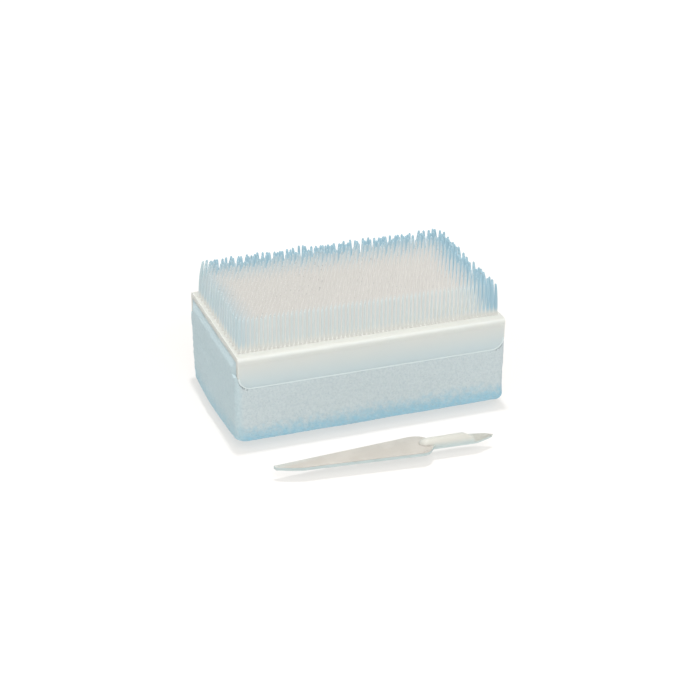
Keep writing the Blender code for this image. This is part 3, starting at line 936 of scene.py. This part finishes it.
# ---------------------------------------------------------------- nail pick

PICK_TURN = math.radians(-2.6)
PICK_LENGTH = 66.0 * MM
BLADE_THICKNESS = 1.2 * MM
BLADE_BEVEL = 0.22 * MM
TIP_WEDGE = 7.0 * MM                 # length over which the blade thins to its blunt tip,
TIP_THICKNESS = 0.80                 # to this share of its thickness
TIP_CORNER = 0.60 * MM               # half the width of the blunt tip
# Edges of the blade from above, in mm from the blunt tip: start, two handles and end
BLADE_CURVES = (
    ((0.5, -0.60), (2.5, -1.4), (5.5, -2.5), (8.3, -2.95)),
    ((8.3, -2.95), (20.0, -3.5), (32.0, -4.2), (42.6, -4.90)),
    ((42.6, -4.90), (45.0, -4.95), (45.6, -3.7), (46.4, -2.6)),
    ((46.4, -2.6), (46.8, -2.1), (47.4, -1.9), (48.5, -1.75)),
    ((48.5, 1.75), (47.6, 1.9), (47.0, 2.2), (46.5, 2.6)),
    ((46.5, 2.6), (45.4, 3.9), (44.2, 4.95), (41.0, 4.75)),
)
STEM_START = 42.6 * MM
STEM_NOSE = 3.2 * MM                 # length of the round nose that lies on the blade
STEM_WIDTH = 4.3 * MM
STEM_FLARE = 0.25 * MM               # each side, widening from the nose to the scoop
STEM_HEIGHT = 2.7 * MM
STEM_END = 57.0 * MM                 # the pointed end runs on from here
STEM_FLOOR = 0.05 * MM
STEM_ARC_STEPS = 16
NOSE_HEIGHT = 0.2 * MM               # of the point that closes the stem's nose
POINT_HEIGHT = 1.3 * MM              # of the sections as they near the point,
POINT_DROP = 0.9                     # and the point's own height as a share of that
FOLD_SHARE = 0.22                    # of the pointed end, over which the stem drops fast
FOLD_DROP = 0.6                      # share of the drop that it makes there
FOLD_SLANT = 0.75                    # how far the fold leans, back edge first
FOLD_PLACE = 1.0 * MM                # beyond the stem's end
FOLD_REACH = 5.0 * MM                # how far to each side of the fold the sections lean
HOLLOW_SIZE = (7.2 * MM, 2.0 * MM, 1.9 * MM)
HOLLOW_TURN = (0.0, math.radians(9.0), math.radians(3.0))
HOLLOW_CENTRE = (64.6 * MM, 0.25 * MM, 2.95 * MM)


def curve_points(start, start_handle, end_handle, end, count=13):
    knots = [Vector((*point, 0.0)) * MM for point in (start, start_handle, end_handle, end)]
    return [(point.x, point.y) for point in interpolate_bezier(*knots, count)]


def stem_sections():
    """Stations of the half-round stem and its pointed end: place, half width and height."""
    stations = []
    narrow, wide = STEM_WIDTH / 2, STEM_WIDTH / 2 + STEM_FLARE
    nose_end = STEM_START + STEM_NOSE
    for step in range(1, 9):
        turn = math.radians(90 * step / 8)
        along = STEM_START + STEM_NOSE * (1 - math.cos(turn))
        stations.append((along, narrow * math.sin(turn) ** 0.8, STEM_HEIGHT * math.sin(turn)))
    for share in (0.25, 0.5, 0.75, 1.0):
        along = nose_end + (STEM_END - nose_end) * share
        stations.append((along, narrow + STEM_FLARE * share, STEM_HEIGHT))
    for step in range(1, 20):
        share = step / 20
        along = STEM_END + (PICK_LENGTH - STEM_END) * share
        drop = FOLD_DROP * min(1.0, share / FOLD_SHARE) + (1.0 - FOLD_DROP) * share
        height = STEM_HEIGHT + (POINT_HEIGHT - STEM_HEIGHT) * drop
        stations.append((along, wide * (1 - share ** 1.9), height))
    return stations


def make_stem():
    """A loft through the stem's sections, which lean near the fold, closed at both ends."""
    mesh = bpy.data.meshes.new("pick_stem")
    bm = bmesh.new()
    rings = []
    for along, half_width, height in stem_sections():
        ring = []
        near_fold = 1.0 - min(1.0, abs(along - STEM_END - FOLD_PLACE) / FOLD_REACH)
        for step in range(STEM_ARC_STEPS + 1):
            angle = math.pi * step / STEM_ARC_STEPS
            rise = (height - STEM_FLOOR) * math.sin(angle)
            across = -half_width * math.cos(angle)
            slanted = along - FOLD_SLANT * across * near_fold
            ring.append(bm.verts.new((slanted, across, STEM_FLOOR + rise)))
        rings.append(ring)
    start = bm.verts.new((STEM_START, 0.0, NOSE_HEIGHT))
    point = bm.verts.new((PICK_LENGTH, 0.0, POINT_HEIGHT * POINT_DROP))
    skin(bm, rings)
    for this in range(len(rings[0])):
        after = (this + 1) % len(rings[0])
        bm.faces.new((start, rings[0][after], rings[0][this]))
        bm.faces.new((point, rings[-1][this], rings[-1][after]))
    bmesh.ops.recalc_face_normals(bm, faces=bm.faces)
    bm.to_mesh(mesh)
    bm.free()
    return loose_object(mesh)


def make_hollow():
    """The ball-ended cutter that scoops out the pick's pointed end."""
    bpy.ops.mesh.primitive_uv_sphere_add(segments=48, ring_count=24, radius=1.0)
    hollow = bpy.context.object
    hollow.scale = HOLLOW_SIZE
    hollow.rotation_euler = HOLLOW_TURN
    hollow.location = HOLLOW_CENTRE
    return hollow


def make_pick(finish):
    outline = [(0.0, TIP_CORNER)]
    for curve in BLADE_CURVES:
        outline += [point for point in curve_points(*curve) if point != outline[-1]]
    flat = prism_mesh(
        "pick_blade", outline, BLADE_THICKNESS, lambda u, v, w: (u, v, BLADE_THICKNESS / 2 + w))
    for vertex in flat.vertices:
        if vertex.co.z > BLADE_THICKNESS / 2:
            wedge = min(1.0, vertex.co.x / TIP_WEDGE)
            vertex.co.z = BLADE_THICKNESS * (TIP_THICKNESS + (1.0 - TIP_THICKNESS) * wedge)
    blade = loose_object(flat)
    bevel(blade, BLADE_BEVEL, 50)
    stem, hollow = make_stem(), make_hollow()
    boolean(blade, stem, "UNION")
    boolean(blade, hollow, "DIFFERENCE")
    mesh = applied(blade)
    for cutter in (stem, hollow):
        bpy.data.objects.remove(cutter, do_unlink=True)
    centre = (PICK_LOW + PICK_HIGH) / 2
    place = Matrix.Translation((centre.x, centre.y, 0.0)) @ Matrix.Rotation(PICK_TURN, 4, "Z")
    mesh.transform(place @ Matrix.Translation((-PICK_LENGTH / 2, 0.0, 0.0)))
    mesh.name = "moulded_pick"
    smooth(mesh, 30)
    new_piece("moulded_pick", mesh, finish, "nail_pick", ["nail_pick"])


# ---------------------------------------------------------------- build

set_colour_management()
add_camera()
add_world()
add_floor()
for light in LIGHTS:
    add_area_light(*light)
make_bristles(bristle_material())
make_plate(plate_material(), lip_material())
make_sponge(foam_material())
make_bond(adhesive_material())
make_pick(pick_material())
